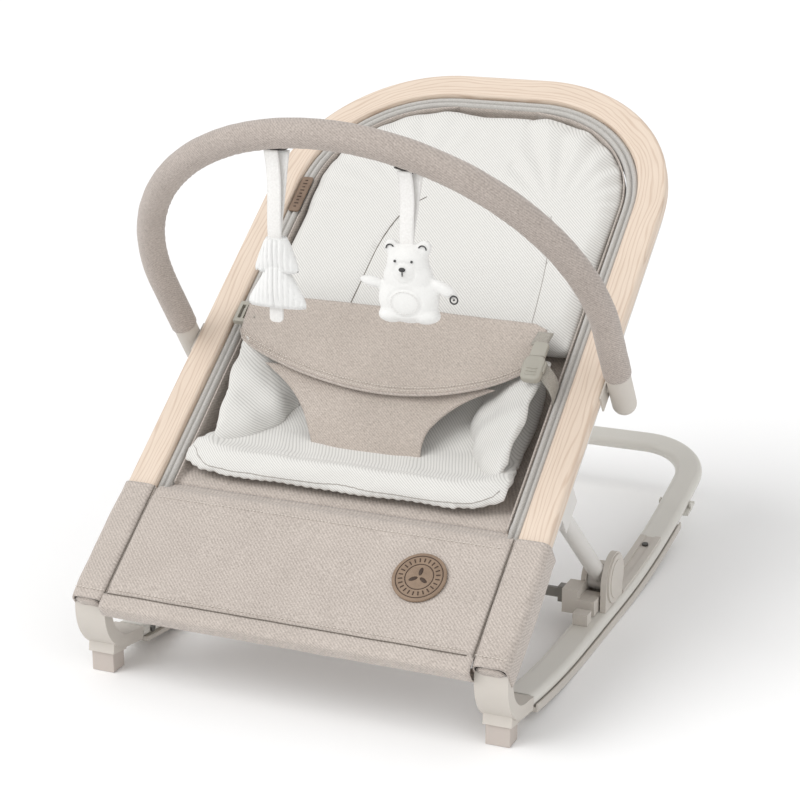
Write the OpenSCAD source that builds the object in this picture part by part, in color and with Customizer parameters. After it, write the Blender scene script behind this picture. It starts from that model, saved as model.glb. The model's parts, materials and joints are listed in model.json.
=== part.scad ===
/* [Which piece] */
// Node to build, or all

/* [Base] */
// Distance from the middle to the centre line of a rocker rail
rail_x = 184; // [170:200]
// Width of the flat oval rail tube
rail_w = 28; // [20:34]
// Height of the flat oval rail tube
rail_h = 12; // [8:16]
// Thickness of the plastic runner under each rail
runner_h = 4; // [2:6]
// Length of the level part of each rail
level_len = 110; // [60:160]
// Radius of the rocker behind the level part
rear_r = 1120; // [800:1800]
// Radius of the rocker in front of the level part
front_r = 1000; // [800:1800]
// Radius of the two rear corners, on the tube's centre line
corner_r = 62; // [45:90]

/* [Seat frame] */
// Slope of the seat frame against the floor, degrees
seat_tilt = 36; // [30:45]
// Inner half width of the wooden rim
rim_in = 170.5; // [150:190]
// Face width of the wooden rim
rim_w = 27.5; // [20:35]
// Thickness of the wooden rim
rim_t = 14; // [10:20]
// Inner top edge of the rim above the sleeve edge
rim_top = 507; // [450:560]
// Inner corner radius of the rim
rim_r = 129; // [90:150]

/* [Toy bar] */
// Half width of the toy bar, on its centre line
bar_w = 211; // [205:220]
// Straight length of each leg of the toy bar
bar_leg = 59; // [40:90]
// Radius of the padded bar
bar_r = 12.5; // [10:15]

/* [Hidden] */
$fn = 64;
oy = 75.4;
oz = 147.4;
y_front = 190;
y_rear = y_front + level_len;
rail_end = 14;
front_end = 8.165;
el_y = 30;
el_z = 63;
hin_v = -100;
hin_n = -9;
hub_y = 284;
hub_z = 40;
strut_a = 139.7;
strut_l = 165;
pin_r = 4;
gap = 0.05;
piv_v = 178;
piv_n = -12;
arc_n = 9;
y_shift = -307.97;

// ---- helpers ----
// puts the middle of the whole part's box over the origin
module place() {
  translate([0, y_shift, 0])
    children();
}

module in_seat() {
  translate([0, oy, oz])
    rotate([seat_tilt, 0, 0])
      children();
}

module rrect(w, h, r) {
  square([w - 2 * r, h], center = true);
  square([w, h - 2 * r], center = true);
  for (sx = [-1, 1])
    for (sy = [-1, 1])
      translate([sx * (w / 2 - r), sy * (h / 2 - r)])
        circle(r);
}

// profile: x across, y up; runs along the y axis from a to b
module along_y(a, b) {
  translate([0, b, 0])
    rotate([90, 0, 0])
      linear_extrude(b - a)
        children();
}

// profile: x across, y height above the floor line
module rear_arc(a0, a1) {
  translate([0, y_rear, rear_r])
    rotate([0, 90, 0])
      rotate([0, 0, a0])
        rotate_extrude(angle = a1 - a0)
          translate([rear_r, 0])
            rotate([0, 0, 90])
              children();
}

module front_arc(a0, a1) {
  translate([0, y_front, front_r])
    mirror([0, 1, 0])
      rotate([0, 90, 0])
        rotate([0, 0, a0])
          rotate_extrude(angle = a1 - a0)
            translate([front_r, 0])
              rotate([0, 0, 90])
                children();
}

module stadium(w, h) {
  square([w - h, h], center = true);
  for (s = [-1, 1])
    translate([s * (w - h) / 2, 0])
      circle(h / 2);
}

module tube_profile() {
  difference() {
    stadium(rail_w, rail_h);
    stadium(rail_w - 3.2, rail_h - 3.2);
  }
}

module rail_profile() {
  translate([rail_x, runner_h + rail_h / 2])
    tube_profile();
}

module sides() {
  children();
  mirror([1, 0, 0])
    children();
}

module rear_frame() {
  translate([0, y_rear, rear_r])
    rotate([rail_end, 0, 0])
      translate([0, 0, -rear_r])
        children();
}

// ---- base ----
module base_tube() {
  place() color([0.80, 0.79, 0.76]) {
    sides() {
      front_arc(0, front_end)
        rail_profile();
      along_y(y_front, y_rear)
        rail_profile();
      rear_arc(0, rail_end)
        rail_profile();
      rear_frame()
        translate([rail_x - corner_r, 0, 0])
          rotate_extrude(angle = 90)
            translate([corner_r, runner_h + rail_h / 2])
              tube_profile();
    }
    rear_frame()
      translate([-rail_x + corner_r, corner_r, runner_h + rail_h / 2])
        rotate([0, 90, 0])
          rotate([0, 0, 90])
            linear_extrude(2 * (rail_x - corner_r))
              tube_profile();
  }
}

module runner_profile() {
  translate([rail_x - 15, 0])
    square([30, runner_h]);
  translate([rail_x + rail_w / 2 + 0.3, 0])
    square([1.4, runner_h + 3]);
}

module runner_right() {
  place() color([0.86, 0.84, 0.79]) {
    front_arc(0, front_end - 0.3)
      runner_profile();
    along_y(y_front, y_rear)
      runner_profile();
    rear_arc(0, 10)
      runner_profile();
  }
}

module runner_left() {
  mirror([1, 0, 0])
    runner_right();
}

// sector of a strap ring in the side plane, a0 to a1 above level: inner radius, thickness, width
module elbow_arc(a0, a1, r, t, w) {
  translate([0, el_y, el_z])
    rotate([0, 90, 0])
      rotate([0, 0, 270 - a1])
        rotate_extrude(angle = a1 - a0)
          translate([r, rail_x - w / 2])
            square([t, w]);
}

module at_hinge() {
  in_seat()
    translate([0, hin_v, hin_n])
      rotate([-seat_tilt, 0, 0])
        rotate([0, 90, 0])
          children();
}

module elbow_right() {
  place() color([0.84, 0.81, 0.77])
    difference() {
      union() {
        elbow_arc(-81.835, 10, 34, 12, 29);
        elbow_arc(6, 24, 34.4, 11.2, 17.4);
        at_hinge()
          translate([0, 0, rail_x - 9])
            cylinder(r = 8, h = 18);
        translate([0, el_y, el_z])
          rotate([-8.165, 0, 0])
            translate([rail_x - 14.5, -4, -45.8])
              cube([29, 27.4, 11.6]);
        translate([0, el_y, el_z])
          rotate([-8.165, 0, 0])
            translate([rail_x - 12.5, -24, -48.5])
              cube([25, 22, 14]);
      }
      at_hinge()
        translate([0, 0, rail_x - 20])
          cylinder(r = pin_r + gap, h = 40);
    }
}

module elbow_left() {
  mirror([1, 0, 0])
    elbow_right();
}

module foot_right() {
  place() color([0.83, 0.79, 0.75])
    difference() {
      translate([rail_x - 10.5, 1.5, 0])
        cube([21, 18, 24]);
      translate([0, el_y, el_z])
        rotate([0, 90, 0])
          cylinder(r = 46.05, h = 400, $fn = 128);
      translate([0, el_y, el_z])
        rotate([-8.165, 0, 0])
          translate([rail_x - 20, -34, -48.55])
            cube([40, 50, 30]);
    }
}

module foot_left() {
  mirror([1, 0, 0])
    foot_right();
}

module hinge_pins() {
  place() color([0.72, 0.70, 0.67])
    sides()
      at_hinge()
        translate([0, 0, rail_x - 14.5])
          cylinder(r = pin_r, h = 29);
}

module rear_pad_right() {
  place() color([0.78, 0.77, 0.73]) {
    rear_arc(11.2, 12.5)
      translate([rail_x - 16.6, 1])
        square([33.2, 2.9]);
    rear_arc(11.7, 12)
      translate([rail_x - 17, 1.4])
        square([1.7, 8.6]);
    rear_arc(11.7, 12)
      translate([rail_x + 15.3, 1.4])
        square([1.7, 8.6]);
  }
}

module rear_pad_left() {
  mirror([1, 0, 0])
    rear_pad_right();
}

module hub_right() {
  place() color([0.80, 0.79, 0.75])
    difference() {
      union() {
        translate([188.6, hub_y, hub_z])
          rotate([0, 90, 0])
            cylinder(r = 26, h = 5.4);
        translate([188.6, hub_y - 26, 16.2])
          cube([5.4, 52, 24]);
        translate([166, hub_y, hub_z])
          rotate([0, 90, 0])
            cylinder(r = 14, h = 5);
        translate([166, hub_y - 12, 16.2])
          cube([5, 30, 24]);
        translate([166, hub_y + 16, 16.2])
          cube([28, 10, 30]);
      }
      translate([160, hub_y - 40, -20])
        cube([50, 80, 36.2]);
      translate([160, hub_y, hub_z])
        rotate([0, 90, 0])
          cylinder(r = pin_r + gap, h = 30);
    }
}

module hub_left() {
  mirror([1, 0, 0])
    hub_right();
}

module hub_cover_right() {
  place() color([0.82, 0.80, 0.77])
    translate([194.1, hub_y, hub_z + 1])
      rotate([0, 90, 0]) {
        cylinder(r = 23, h = 1.6);
        translate([0, 0, 1.6])
          cylinder(r = 18, h = 0.8);
      }
}

module hub_cover_left() {
  mirror([1, 0, 0])
    hub_cover_right();
}

module track_plate_right() {
  place() color([0.84, 0.82, 0.78])
    rear_arc(0.55, 7.1) {
      difference() {
        translate([174, 16.2])
          square([21, 3]);
        translate([180, 17.8])
          square([9, 3]);
      }
    }
}

module track_plate_left() {
  mirror([1, 0, 0])
    track_plate_right();
}

module rail_screws() {
  place() color([0.35, 0.34, 0.33])
    sides() {
      translate([0, y_rear, rear_r])
        rotate([6.1, 0, 0])
          translate([184.5, 0, 18 - rear_r])
            cylinder(r = 3, h = 2);
      translate([rail_x - 14.1, 64, 18.2])
        rotate([0, -90, 0])
          cylinder(r = 3.4, h = 1.6);
    }
}

module stop_block_right() {
  place() color([0.80, 0.78, 0.73])
    translate([174, 222, 16.2])
      cube([14, 12, 11]);
}

module stop_block_left() {
  mirror([1, 0, 0])
    stop_block_right();
}

// ---- release bar ----
module release_bar() {
  place() color([0.50, 0.49, 0.46]) {
    translate([-160, 260, 24])
      cube([320, 4, 9]);
    sides()
      translate([148, 257, 21])
        cube([8, 10, 15]);
  }
}

module release_block_right() {
  place() color([0.80, 0.78, 0.73])
    difference() {
      union() {
        translate([156.1, 245, 16.8])
          cube([15.1, 25, 23]);
        translate([156.1, 245, 16.8])
          cube([30.9, 25, 14.2]);
      }
      translate([150, 259.9, 23.9])
        cube([10.1, 4.2, 9.2]);
    }
}

module release_block_left() {
  mirror([1, 0, 0])
    release_block_right();
}

// ---- struts ----
module strut_right() {
  place() color([0.82, 0.82, 0.80])
    translate([180, hub_y, hub_z])
      rotate([strut_a - 90, 0, 0]) {
        translate([0, 0, 6])
          cylinder(r = 8, h = strut_l - 6);
        translate([0, 0, strut_l])
          sphere(r = 8);
        translate([-8.6, 0, 0])
          rotate([0, 90, 0])
            cylinder(r = 11, h = 16.8);
        translate([-14, 0, 0])
          rotate([0, 90, 0])
            cylinder(r = pin_r, h = 22.5);
      }
}

module strut_left() {
  mirror([1, 0, 0])
    strut_right();
}

// ---- seat frame ----
module arch2d(b, t, r, v0) {
  translate([-b, v0])
    square([2 * b, t - r - v0]);
  translate([-b + r, v0])
    square([2 * (b - r), t - v0]);
  for (s = [-1, 1])
    translate([s * (b - r), t - r])
      circle(r, $fn = 128);
}

module arch_ring2d(b0, b1, t0, r0, v0) {
  difference() {
    arch2d(b1, t0 + b1 - b0, r0 + b1 - b0, v0);
    arch2d(b0, t0, r0, v0 - 10);
  }
}

module arch_sweep(b, t, r, v0) {
  sides() {
    along_y(v0, t - r)
      translate([b, 0])
        children();
    translate([b - r, t - r, 0])
      rotate_extrude(angle = 90)
        translate([r, 0])
          children();
  }
  translate([-(b - r), t, 0])
    rotate([90, 0, 90])
      linear_extrude(2 * (b - r))
        children();
}

module wood_rim() {
  place() color([0.90, 0.81, 0.70])
    in_seat()
      arch_sweep(rim_in + rim_w / 2, rim_top + rim_w / 2, rim_r + rim_w / 2, -6)
        translate([0, -rim_t / 2])
          rrect(rim_w, rim_t, 3.5);
}

module seat_tube() {
  place() color([0.72, 0.71, 0.69])
    in_seat()
      arch_sweep(rim_in + rim_w / 2, rim_top + rim_w / 2, rim_r + rim_w / 2, -66)
        translate([0, -rim_t - 6.2])
          difference() {
            rrect(20, 12, 3);
            rrect(17, 9, 1.5);
          }
}

module hinge_fork_right() {
  place() color([0.78, 0.76, 0.72])
    in_seat()
      difference() {
        union() {
          for (x0 = [169.9, 193.4])
            translate([x0, hin_v, -24])
              cube([4.8, 34, 22]);
          translate([169.9, -88, -24])
            cube([28.3, 21.8, 22]);
          for (x0 = [169.9, 193.4])
            translate([x0, hin_v, hin_n])
              rotate([0, 90, 0])
                cylinder(r = 9, h = 4.8);
        }
        translate([160, hin_v - 14, -40])
          cube([50, 14 + 3.99, 30.99 - 9]);
        translate([160, hin_v, hin_n])
          rotate([0, 90, 0])
            cylinder(r = pin_r + gap, h = 60);
      }
}

module hinge_fork_left() {
  mirror([1, 0, 0])
    hinge_fork_right();
}

module strut_bracket_right() {
  place() color([0.62, 0.61, 0.59])
    in_seat() {
      translate([169.6, 50, -54])
        cube([1.8, 34, 39]);
      translate([171.3, 50, -24])
        cube([2.8, 34, 8]);
      translate([188.6, 50, -54])
        cube([1.8, 34, 27.7]);
    }
}

module strut_bracket_left() {
  mirror([1, 0, 0])
    strut_bracket_right();
}

module sleeve_right() {
  place() color([0.80, 0.76, 0.71])
    in_seat()
      difference() {
        translate([167.6, -120, -29.4])
          cube([33, 123, 32.4]);
        translate([169.3, -130, -27.6])
          cube([29.6, 140, 28.6]);
        translate([160, -130, -40])
          cube([50, 42, 24]);
      }
}

module sleeve_left() {
  mirror([1, 0, 0])
    sleeve_right();
}

module fabric_sling() {
  place() color([0.79, 0.75, 0.70])
    in_seat() {
      translate([0, 0, -29])
        linear_extrude(3)
          arch2d(157, 494, 115, 196);
      translate([-157, 0, 0])
        rotate([90, 0, 90])
          linear_extrude(314)
            polygon([[2, -7], [12, -4.2], [24, -7], [61, -27], [101, -47], [149, -51], [183, -41],
              [195, -26.6], [206, -26.6], [206, -28.6], [199, -28.6], [186, -44], [150, -54],
              [100, -50], [60, -30], [24, -10.5], [12, -12], [2, -12]]);
      sides()
        translate([155, 0, 0])
          rotate([90, 0, 90])
            linear_extrude(2.4)
              polygon([[14, -6], [24, -9], [60, -28.5], [100, -48.5], [150, -52.5], [185, -42.5],
                [197, -28], [197, -6]]);
    }
}

module inner_band() {
  place() color([0.70, 0.68, 0.66])
    in_seat()
      translate([0, 0, -22])
        linear_extrude(18)
          arch_ring2d(159, 168.8, 495.5, 117.5, 4);
}

module front_panel() {
  place() color([0.80, 0.76, 0.71])
    in_seat()
      translate([-164, -126, -4])
        cube([328, 127, 4]);
}

module bottom_hem() {
  place() color([0.79, 0.75, 0.70])
    in_seat()
      translate([-163, -126, -18])
        rotate([90, 0, 90])
          linear_extrude(326)
            polygon([[0, 0], [8, 0], [8, 13.8], [0, 13.8]]);
}

// ---- cushions ----
module back_pad() {
  place() color([0.91, 0.91, 0.89])
    in_seat()
      translate([0, 0, -25])
        linear_extrude(20)
          arch2d(151, 484, 106, 204);
}

module seat_pad() {
  place() color([0.91, 0.91, 0.89])
    in_seat()
      translate([-150, 0, 0])
        rotate([90, 0, 90])
          linear_extrude(300)
            polygon([[27, -3], [31, 5], [40, 7.5], [62, -8], [100, -28], [145, -34], [176, -26],
              [186, -12], [196, -14], [196, -24], [184, -39.5], [149, -49.5], [101, -45.5],
              [61, -25], [34, -5]]);
}

module wing_right() {
  place() color([0.91, 0.91, 0.89])
    in_seat()
      translate([138, 0, 0])
        rotate([90, 0, 90])
          linear_extrude(12)
            polygon([[66, -9], [70, -3], [160, 9], [176, 4], [184, -8], [174, -23], [146, -30],
              [101, -24]]);
}

module wing_left() {
  mirror([1, 0, 0])
    wing_right();
}

// ---- harness ----
module in_belt() {
  in_seat()
    translate([0, 217, 14])
      rotate([9, 0, 0])
        children();
}

module waist_belt() {
  place() color([0.77, 0.73, 0.68])
    in_belt()
      linear_extrude(4)
        intersection() {
          translate([-150, -75])
            square([286, 75]);
          translate([-7, 90])
            circle(r = 165, $fn = 128);
        }
}

module crotch_panel() {
  place() color([0.77, 0.73, 0.68])
    in_belt()
      translate([0, 0, -3.2])
        linear_extrude(3)
          difference() {
            translate([-116, -140])
              square([232, 118]);
            for (s = [-1, 1])
              translate([s * 152, -118])
                circle(r = 98, $fn = 128);
            for (s = [-1, 1])
              translate([s * 116, -26])
                circle(r = 18);
          }
}

module webbing_left() {
  place() color([0.76, 0.73, 0.68])
    in_seat()
      translate([-168, 190, 1.4])
        cube([18, 20, 1.8]);
}

module webbing_right() {
  place() color([0.76, 0.73, 0.68])
    in_seat()
      translate([152, 150, 12])
        cube([8, 20, 1.8]);
}

module ladder_buckle() {
  place() color([0.76, 0.73, 0.69])
    in_seat()
      translate([-164, 188, 4])
        difference() {
          cube([15, 24, 5]);
          translate([3, 4, -1])
            cube([3.6, 16, 8]);
          translate([8.6, 4, -1])
            cube([3.6, 16, 8]);
        }
}

module buckle_socket() {
  place() color([0.76, 0.73, 0.69])
    in_seat()
      translate([131, 152, 15])
        cube([18, 26, 7]);
}

module buckle_tongue() {
  place() color([0.74, 0.71, 0.67])
    in_seat()
      translate([133, 178.3, 16])
        cube([14, 16, 5]);
}

module badge() {
  place() color([0.55, 0.45, 0.38])
    in_seat()
      translate([102, -49, 0.1])
        cylinder(r = 23.5, h = 1.5);
}

module side_tag() {
  place() color([0.50, 0.41, 0.35])
    in_seat()
      translate([-167, 338, -3.8])
        cube([10, 45, 1.4]);
}

// ---- toy bar ----
module bar_clip_right() {
  place() color([0.78, 0.75, 0.71])
    in_seat()
      difference() {
        union() {
          translate([198.1, piv_v - 20, piv_n - 9])
            cube([1.6, 32, 18]);
          translate([198.1, piv_v, piv_n])
            rotate([0, 90, 0])
              cylinder(r = 5, h = 9);
        }
        translate([200, piv_v, piv_n])
          rotate([0, 90, 0])
            cylinder(r = 1.6, h = 9);
      }
}

module bar_clip_left() {
  mirror([1, 0, 0])
    bar_clip_right();
}

module bar_path(r) {
  sides()
    translate([bar_w, 0, 0])
      cylinder(r = r, h = bar_leg);
  translate([0, 0, bar_leg])
    rotate([90, 0, 0])
      rotate_extrude(angle = 180)
        translate([bar_w, 0])
          circle(r);
}

module in_bar() {
  in_seat()
    translate([0, piv_v, arc_n])
      children();
}

module bar_core() {
  place() color([0.65, 0.64, 0.62])
    in_bar()
      difference() {
        bar_path(7);
        bar_path(5.6);
      }
}

module bar_sleeve() {
  place() color([0.74, 0.70, 0.67])
    in_bar()
      difference() {
        bar_path(bar_r);
        bar_path(7.05);
      }
}

module bar_cap_right() {
  place() color([0.80, 0.78, 0.74])
    in_seat()
      difference() {
        union() {
          translate([bar_w, piv_v, -32])
            cylinder(r = 11, h = 32 + arc_n - 0.1);
          translate([bar_w, piv_v, -32])
            sphere(r = 11);
        }
        translate([190, piv_v, piv_n])
          rotate([0, 90, 0])
            cylinder(r = 5 + gap, h = 18);
      }
}

module bar_cap_left() {
  mirror([1, 0, 0])
    bar_cap_right();
}

// point on the bar's arch, a degrees from its top towards the right
function bar_pt(a) = let (u = bar_w * sin(a), h = arc_n + bar_leg + bar_w * cos(a))
  [u, oy + piv_v * cos(seat_tilt) - h * sin(seat_tilt),
   oz + piv_v * sin(seat_tilt) + h * cos(seat_tilt)];

module strap(a, len) {
  p = bar_pt(a);
  difference() {
    union() {
      intersection() {
        translate(p)
          rotate([seat_tilt, 0, 0])
            rotate([0, a, 0])
              translate([-20, 0, 0])
                rotate([0, 90, 0])
                  cylinder(r = bar_r + 2.2, h = 40);
        translate([p[0] - 7.2, p[1] - 6, p[2] - bar_r - 4])
          cube([14.4, 12, 9]);
      }
      translate([p[0] - 8, p[1] - 1, p[2] - len])
        cube([16, 2, len - bar_r - 1]);
    }
    translate(p)
      rotate([seat_tilt, 0, 0])
        rotate([0, a, 0])
          translate([-30, 0, 0])
            rotate([0, 90, 0])
              cylinder(r = bar_r + 0.4, h = 60);
  }
}

module tree_strap() {
  place() color([0.93, 0.93, 0.91])
    strap(-9.5, 86);
}

module tree_toy() {
  p = bar_pt(-9.5);
  place() color([0.95, 0.95, 0.94])
    translate([p[0], p[1] + 11, p[2] - 86.2])
      rotate([90, 0, 0])
        linear_extrude(22)
          polygon([[-8, 0], [8, 0], [19, -24], [12, -28], [26, -57], [-26, -57], [-12, -28],
            [-19, -24]]);
  place() color([0.95, 0.95, 0.94])
    translate([p[0] - 6, p[1] - 2, p[2] - 86.2 - 71])
      cube([12, 4, 14.2]);
}

module bear_strap() {
  place() color([0.93, 0.93, 0.91])
    strap(22, 70);
}

module bear_toy() {
  p = bar_pt(22);
  place() color([0.95, 0.95, 0.94])
    translate([p[0], p[1] + 11, p[2] - 70.2])
      rotate([90, 0, 0]) {
        linear_extrude(22) {
          translate([0, -17.8])
            circle(17.7);
          translate([0, -44])
            circle(24);
        }
        for (s = [-1, 1])
          translate([s * 13.5, -5, 6])
            cylinder(r = 5.8, h = 8);
        for (s = [-1, 1])
          translate([s * 25, -33, 6])
            rotate([0, 0, s * -35])
              translate([-9, -6, 0])
                cube([18, 12, 10]);
      }
}

base_tube();
runner_left();
runner_right();
elbow_left();
elbow_right();
foot_left();
foot_right();
hinge_pins();
rear_pad_left();
rear_pad_right();
hub_left();
hub_right();
hub_cover_left();
hub_cover_right();
track_plate_left();
track_plate_right();
rail_screws();
stop_block_left();
stop_block_right();
release_bar();
release_block_left();
release_block_right();
strut_left();
strut_right();
wood_rim();
seat_tube();
hinge_fork_left();
hinge_fork_right();
strut_bracket_left();
strut_bracket_right();
sleeve_left();
sleeve_right();
fabric_sling();
inner_band();
front_panel();
bottom_hem();
back_pad();
seat_pad();
wing_left();
wing_right();
waist_belt();
crotch_panel();
webbing_left();
webbing_right();
ladder_buckle();
buckle_socket();
buckle_tongue();
badge();
side_tag();
bar_clip_left();
bar_clip_right();
bar_core();
bar_sleeve();
bar_cap_left();
bar_cap_right();
tree_toy();
tree_strap();
bear_toy();
bear_strap();
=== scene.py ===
import json
import math
import bpy
import bmesh
from mathutils import Matrix, Vector, noise
from mathutils.bvhtree import BVHTree


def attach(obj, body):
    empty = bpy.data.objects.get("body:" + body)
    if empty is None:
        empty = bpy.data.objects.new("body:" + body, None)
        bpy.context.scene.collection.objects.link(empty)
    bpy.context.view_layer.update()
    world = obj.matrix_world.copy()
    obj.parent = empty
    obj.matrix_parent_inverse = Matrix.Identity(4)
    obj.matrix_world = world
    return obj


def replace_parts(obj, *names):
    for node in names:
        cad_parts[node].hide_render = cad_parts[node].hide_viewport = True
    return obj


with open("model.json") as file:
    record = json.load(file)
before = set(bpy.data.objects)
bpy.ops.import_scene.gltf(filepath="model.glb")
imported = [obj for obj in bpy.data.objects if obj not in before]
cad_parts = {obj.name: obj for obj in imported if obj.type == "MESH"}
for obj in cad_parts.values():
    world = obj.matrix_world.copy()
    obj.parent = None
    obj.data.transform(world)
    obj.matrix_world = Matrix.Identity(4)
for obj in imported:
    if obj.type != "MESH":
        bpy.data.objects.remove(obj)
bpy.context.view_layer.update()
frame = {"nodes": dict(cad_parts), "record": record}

MM = 0.001
FULL_TURN = 6.2832
TILT = math.radians(36)
# The seat's own frame, from its hinge: x across, y up the back rest, z out of the cushions.
SEAT = Matrix.Translation((0, -0.23257, 0.1474)) @ Matrix.Rotation(TILT, 4, "X")
# The toy bar's frame stands on its pivots, and the belt's frame lies along the belt's straight top edge.
BAR = SEAT @ Matrix.Translation((0, 0.178, 0.009))
BELT = SEAT @ Matrix.Translation((0, 0.217, 0.014)) @ Matrix.Rotation(math.radians(9), 4, "X")
# Centre of the rim's round corner, and the toy bar's arch radius and straight ends, in metres.
CORNER_X, CORNER_Y = 0.0415, 0.378
BAR_REACH, BAR_LEG = 0.211, 0.059
scene = bpy.context.scene


# ---------------------------------------------------------------- camera, light, floor
def set_camera():
    eye, aim = Vector((0.69663, -1.72029, 0.76233)), Vector((-0.02801, -0.00797, 0.18176))
    lens = bpy.data.cameras.new("camera")
    lens.lens, lens.sensor_width = 92.26, 36
    ob = bpy.data.objects.new("camera", lens)
    scene.collection.objects.link(ob)
    ob.location = eye
    ob.rotation_euler = (aim - eye).to_track_quat("-Z", "Y").to_euler()
    scene.camera = ob


def soft_sun(name, place, strength, spread):
    """A wide sun that shines from a place towards the origin; the spread is in degrees."""
    lamp = bpy.data.lights.new(name, "SUN")
    lamp.energy, lamp.angle = strength, math.radians(spread)
    ob = bpy.data.objects.new(name, lamp)
    scene.collection.objects.link(ob)
    ob.rotation_euler = (-Vector(place)).to_track_quat("-Z", "Y").to_euler()


def white_room(strength):
    world = bpy.data.worlds.new("studio")
    world.use_nodes = True
    light = world.node_tree.nodes["Background"]
    light.inputs["Color"].default_value = (1, 1, 1, 1)
    light.inputs["Strength"].default_value = strength
    scene.world = world
    scene.view_settings.view_transform = "Standard"


set_camera()
soft_sun("window", (-1.5, -1.6, 2.2), 1.6, 45)
soft_sun("fill", (2.4, -1.2, 1.3), 0.45, 60)
white_room(0.68)


# ---------------------------------------------------------------- nodes and finishes
def add(tree, kind, links=None, **props):
    """Adds a shader node: its inputs are linked or set from links, its properties from the rest."""
    node = tree.nodes.new("ShaderNode" + kind)
    for key, value in props.items():
        setattr(node, key, value)
    for key, value in (links or {}).items():
        if isinstance(value, bpy.types.NodeSocket):
            tree.links.new(value, node.inputs[key])
        else:
            node.inputs[key].default_value = value
    return node


def sums(tree, kind, a, b=0.0, c=0.0):
    """One Math node's result."""
    return add(tree, "Math", {0: a, 1: b, 2: c}, operation=kind).outputs[0]


def new_group(name, takes, gives):
    tree = bpy.data.node_groups.new(name, "ShaderNodeTree")
    for label, kind, value in takes:
        socket = tree.interface.new_socket(name=label, in_out="INPUT", socket_type=kind)
        if value is not None:
            socket.default_value = value
    for label, kind in gives:
        tree.interface.new_socket(name=label, in_out="OUTPUT", socket_type=kind)
    return tree, tree.nodes.new("NodeGroupInput"), tree.nodes.new("NodeGroupOutput")


def make_weave():
    """Twill: a slanting rib crossed by finer threads, with thick and thin yarns."""
    tree, into, out = new_group("twill weave",
                                [("Place", "NodeSocketVector", None), ("Threads", "NodeSocketFloat", 450.0)],
                                [("Height", "NodeSocketFloat"), ("Yarn", "NodeSocketFloat")])
    p = add(tree, "SeparateXYZ", {0: into.outputs["Place"]})
    turn = sums(tree, "MULTIPLY", into.outputs["Threads"], FULL_TURN)
    a = sums(tree, "ADD", sums(tree, "ADD", p.outputs[0], p.outputs[1]), p.outputs[2])
    b = sums(tree, "SUBTRACT", sums(tree, "ADD", p.outputs[1], p.outputs[2]), p.outputs[0])
    rib = sums(tree, "SINE", sums(tree, "MULTIPLY", a, turn))
    weft = sums(tree, "SINE", sums(tree, "MULTIPLY", sums(tree, "MULTIPLY", b, 1.7), turn))
    both = sums(tree, "MULTIPLY_ADD", weft, 0.45, rib)
    fleck = add(tree, "TexNoise", {"Vector": into.outputs["Place"], "Scale": 620.0, "Detail": 2.0})
    patch = add(tree, "TexNoise", {"Vector": into.outputs["Place"], "Scale": 22.0, "Detail": 3.0})
    tree.links.new(sums(tree, "MULTIPLY_ADD", both, 0.3, 0.5), out.inputs["Height"])
    tone = sums(tree, "MULTIPLY_ADD", fleck.outputs[0], 1.1, sums(tree, "MULTIPLY", both, 0.12))
    tree.links.new(sums(tree, "MULTIPLY_ADD", patch.outputs[0], 0.25, sums(tree, "SUBTRACT", tone, 0.17)),
                   out.inputs["Yarn"])
    return tree


def make_grain():
    """Moulded or coated skin: fine pebble, faint clouding, a few rubbed spots."""
    tree, into, out = new_group("fine skin",
                                [("Place", "NodeSocketVector", None), ("Grain", "NodeSocketFloat", 900.0)],
                                [("Height", "NodeSocketFloat"), ("Cloud", "NodeSocketFloat"),
                                 ("Rubbed", "NodeSocketFloat")])
    place = into.outputs["Place"]
    fine = add(tree, "TexNoise", {"Vector": place, "Scale": into.outputs["Grain"], "Detail": 2.0})
    cloud = add(tree, "TexNoise", {"Vector": place, "Scale": 14.0, "Detail": 4.0})
    rub = add(tree, "TexNoise", {"Vector": place, "Scale": 60.0, "Detail": 5.0, "Roughness": 0.7})
    mark = add(tree, "MapRange", {0: rub.outputs[0], 1: 0.6, 2: 0.78})
    tree.links.new(fine.outputs[0], out.inputs["Height"])
    tree.links.new(cloud.outputs[0], out.inputs["Cloud"])
    tree.links.new(mark.outputs[0], out.inputs["Rubbed"])
    return tree


WEAVE, SKIN = make_weave(), make_grain()


def start(name, tilt=False):
    """An empty finish: its node tree, its shader and the place that its patterns read."""
    mat = bpy.data.materials.new(name)
    mat.use_nodes = True
    tree = mat.node_tree
    shader = tree.nodes["Principled BSDF"]
    place = add(tree, "TexCoord").outputs["Object"]
    if tilt:
        back = SEAT.inverted()
        turned = add(tree, "Mapping", {"Vector": place, "Location": back.to_translation(),
                                       "Rotation": back.to_euler()})
        place = turned.outputs[0]
    return mat, tree, shader, place


def colour_between(tree, mask, low, high):
    mix = add(tree, "Mix", data_type="RGBA")
    tree.links.new(mask, mix.inputs["Factor"])
    mix.inputs["A"].default_value, mix.inputs["B"].default_value = (*low, 1), (*high, 1)
    return mix.outputs["Result"]


def bump(tree, shader, height, depth, strength=0.6):
    node = add(tree, "Bump", {"Height": height, "Distance": depth, "Strength": strength})
    tree.links.new(node.outputs[0], shader.inputs["Normal"])


def woven(name, dark, light, threads, depth=0.0004, tilt=True):
    """Cloth or thread: two tones of yarn, so many threads to the metre, and the weave's depth."""
    mat, tree, shader, place = start(name, tilt)
    cloth = add(tree, "Group", node_tree=WEAVE)
    tree.links.new(place, cloth.inputs["Place"])
    cloth.inputs["Threads"].default_value = threads
    tree.links.new(colour_between(tree, cloth.outputs["Yarn"], dark, light), shader.inputs["Base Color"])
    shader.inputs["Roughness"].default_value = 0.88
    shader.inputs["Sheen Weight"].default_value = 0.25
    shader.inputs["Sheen Roughness"].default_value = 0.5
    shader.inputs["Specular IOR Level"].default_value = 0.2
    bump(tree, shader, cloth.outputs["Height"], depth)
    return mat


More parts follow.
